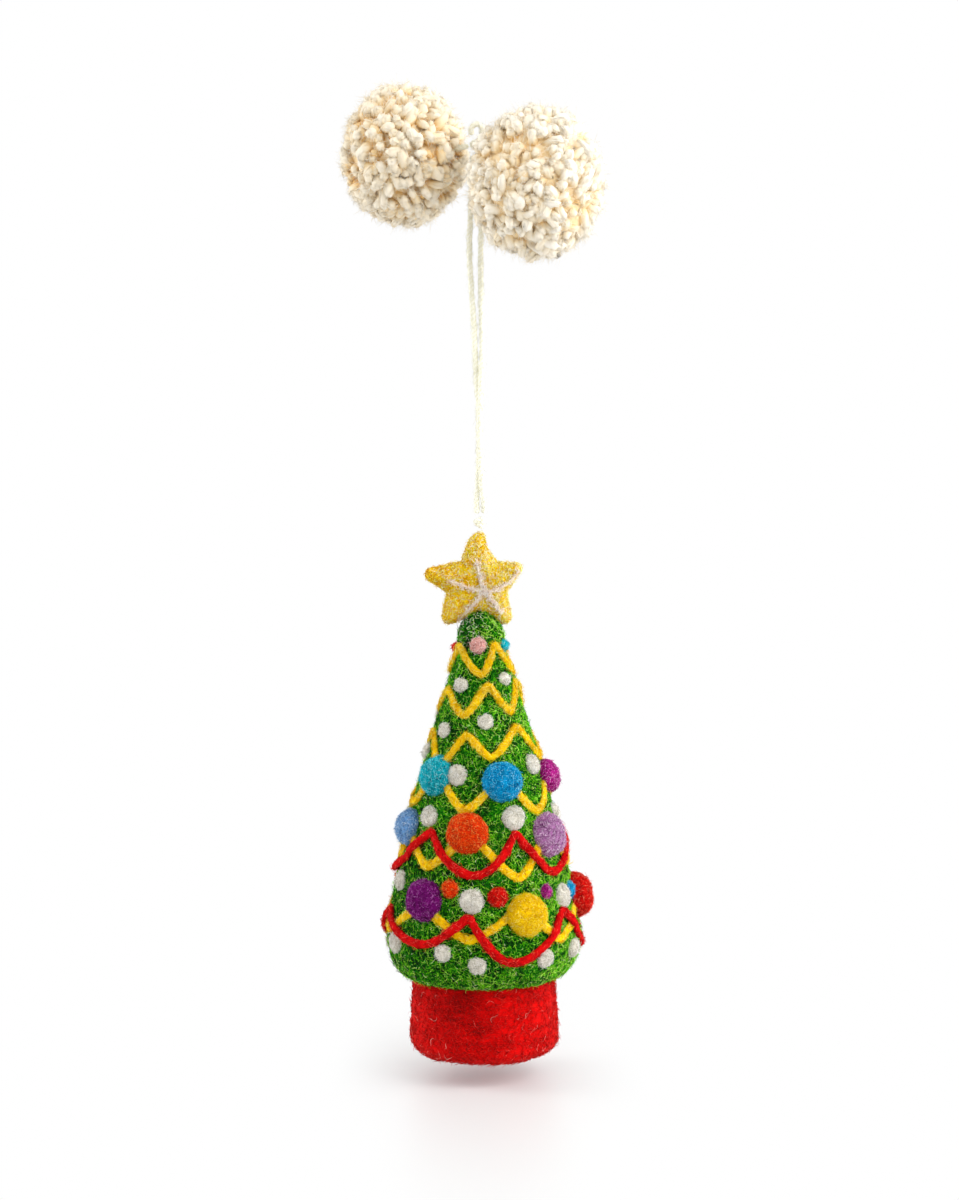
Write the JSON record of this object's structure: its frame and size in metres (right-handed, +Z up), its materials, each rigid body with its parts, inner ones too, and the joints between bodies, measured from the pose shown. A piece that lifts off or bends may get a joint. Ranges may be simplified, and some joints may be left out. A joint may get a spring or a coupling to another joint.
{
  "type": "hanging christmas tree ornament",
  "caption": "Needle-felted wool cone tree on a pot, with a star, garlands and felt balls, hung on a doubled yarn under two yarn pompoms.",
  "frame": {"origin": "the hang point: inside the top of the yarn loop, where a hook carries it", "axes": "+Z up along the hanging yarn, +X to the object's right seen from the front, the front faces -Y"},
  "size_m": [0.0637, 0.0536, 0.2334],
  "materials": {
    "yarn": "soft plied yarn, matt, with loose fibres",
    "pompom_yarn": "cut plied yarn ends, matt and shaggy",
    "star_felt": "gold-yellow needle felt with pale and bright fibres",
    "star_thread": "pale pink-white thread",
    "green_felt": "mixed green needle felt, fuzzy",
    "core_wool": "undyed carded wool, matt",
    "pot_red_felt": "bright red needle felt, fuzzy",
    "red_roving": "red wool roving, brushed",
    "yellow_roving": "yellow wool roving, brushed",
    "turquoise_felt": "dyed needle felt, matt and fuzzy",
    "blue_felt": "dyed needle felt, matt and fuzzy",
    "magenta_felt": "dyed needle felt, matt and fuzzy",
    "light_blue_felt": "dyed needle felt, matt and fuzzy",
    "orange_felt": "dyed needle felt, matt and fuzzy",
    "lavender_felt": "dyed needle felt, matt and fuzzy",
    "purple_felt": "dyed needle felt, matt and fuzzy",
    "yellow_felt": "dyed needle felt, matt and fuzzy",
    "red_felt": "dyed needle felt, matt and fuzzy",
    "white_felt": "dyed needle felt, matt and fuzzy",
    "pink_felt": "dyed needle felt, matt and fuzzy"
  },
  "bodies": {
    "hanger": {"hang_loop": "yarn"},
    "upper_knot": {"top_knot": "yarn"},
    "yarn": {"yarn_left": "yarn", "yarn_right": "yarn"},
    "pompom_left": {"pompom_left": "pompom_yarn", "pompom_tie_left": "yarn"},
    "pompom_right": {"pompom_right": "pompom_yarn", "pompom_tie_right": "yarn"},
    "lower_knot": {"lower_knot": "yarn"},
    "tree": {"star": "star_felt", "star_threads": "star_thread", "cone_felt": "green_felt", "cone_wool_core": "core_wool", "pot_felt": "pot_red_felt", "pot_wool_core": "core_wool", "inner_yarn": "yarn", "anchor_knot": "yarn", "garland_yellow_1": "yellow_roving", "garland_yellow_2": "yellow_roving", "garland_yellow_3": "yellow_roving", "garland_yellow_4": "yellow_roving", "garland_yellow_5": "yellow_roving", "garland_yellow_6": "yellow_roving", "garland_red_1": "red_roving", "garland_red_2": "red_roving", "ball_turquoise": "turquoise_felt", "ball_blue": "blue_felt", "ball_magenta": "magenta_felt", "ball_light_blue": "light_blue_felt", "ball_orange": "orange_felt", "ball_lavender": "lavender_felt", "ball_purple": "purple_felt", "ball_yellow": "yellow_felt", "ball_red": "red_felt", "ball_back_orange": "orange_felt", "ball_back_purple": "purple_felt", "ball_back_yellow": "yellow_felt", "ball_back_blue": "blue_felt", "ball_back_red": "red_felt", "ball_back_magenta": "magenta_felt", "ball_back_turquoise": "turquoise_felt", "ball_back_lavender": "lavender_felt", "ball_back_orange_low": "orange_felt", "pellet_pink": "pink_felt", "pellet_red": "red_felt", "pellet_white_1": "white_felt", "pellet_white_2": "white_felt", "pellet_white_3": "white_felt", "pellet_white_4": "white_felt", "pellet_white_5": "white_felt", "pellet_white_6": "white_felt", "pellet_white_7": "white_felt", "pellet_white_8": "white_felt", "pellet_white_9": "white_felt", "pellet_white_10": "white_felt", "pellet_white_11": "white_felt", "pellet_orange": "orange_felt", "pellet_white_12": "white_felt", "pellet_white_13": "white_felt", "pellet_white_14": "white_felt"}
  },
  "joints": [
    {"name": "sway_side", "type": "hinge", "parent": "hanger", "child": "upper_knot", "pos_m": [0, 0, -0.0042], "axis": [0, 1, 0], "range_deg": [-20, 20]},
    {"name": "sway_fore", "type": "hinge", "parent": "upper_knot", "child": "yarn", "pos_m": [0, 0, -0.0042], "axis": [1, 0, 0], "range_deg": [-20, 20]},
    {"name": "pompom_left_lift", "type": "hinge", "parent": "yarn", "child": "pompom_left", "pos_m": [0, 0, -0.0042], "axis": [0, 1, 0], "range_deg": [0, 15]},
    {"name": "pompom_right_lift", "type": "hinge", "parent": "yarn", "child": "pompom_right", "pos_m": [0, 0, -0.0042], "axis": [0, -1, 0], "range_deg": [0, 25]},
    {"name": "tree_tilt", "type": "hinge", "parent": "yarn", "child": "lower_knot", "pos_m": [0, 0, -0.0939], "axis": [0, 1, 0], "range_deg": [-20, 20]},
    {"name": "tree_twirl", "type": "hinge", "parent": "lower_knot", "child": "tree", "pos_m": [0, 0, -0.0939], "axis": [0, 0, 1], "range_deg": [-180, 180]}
  ]
}
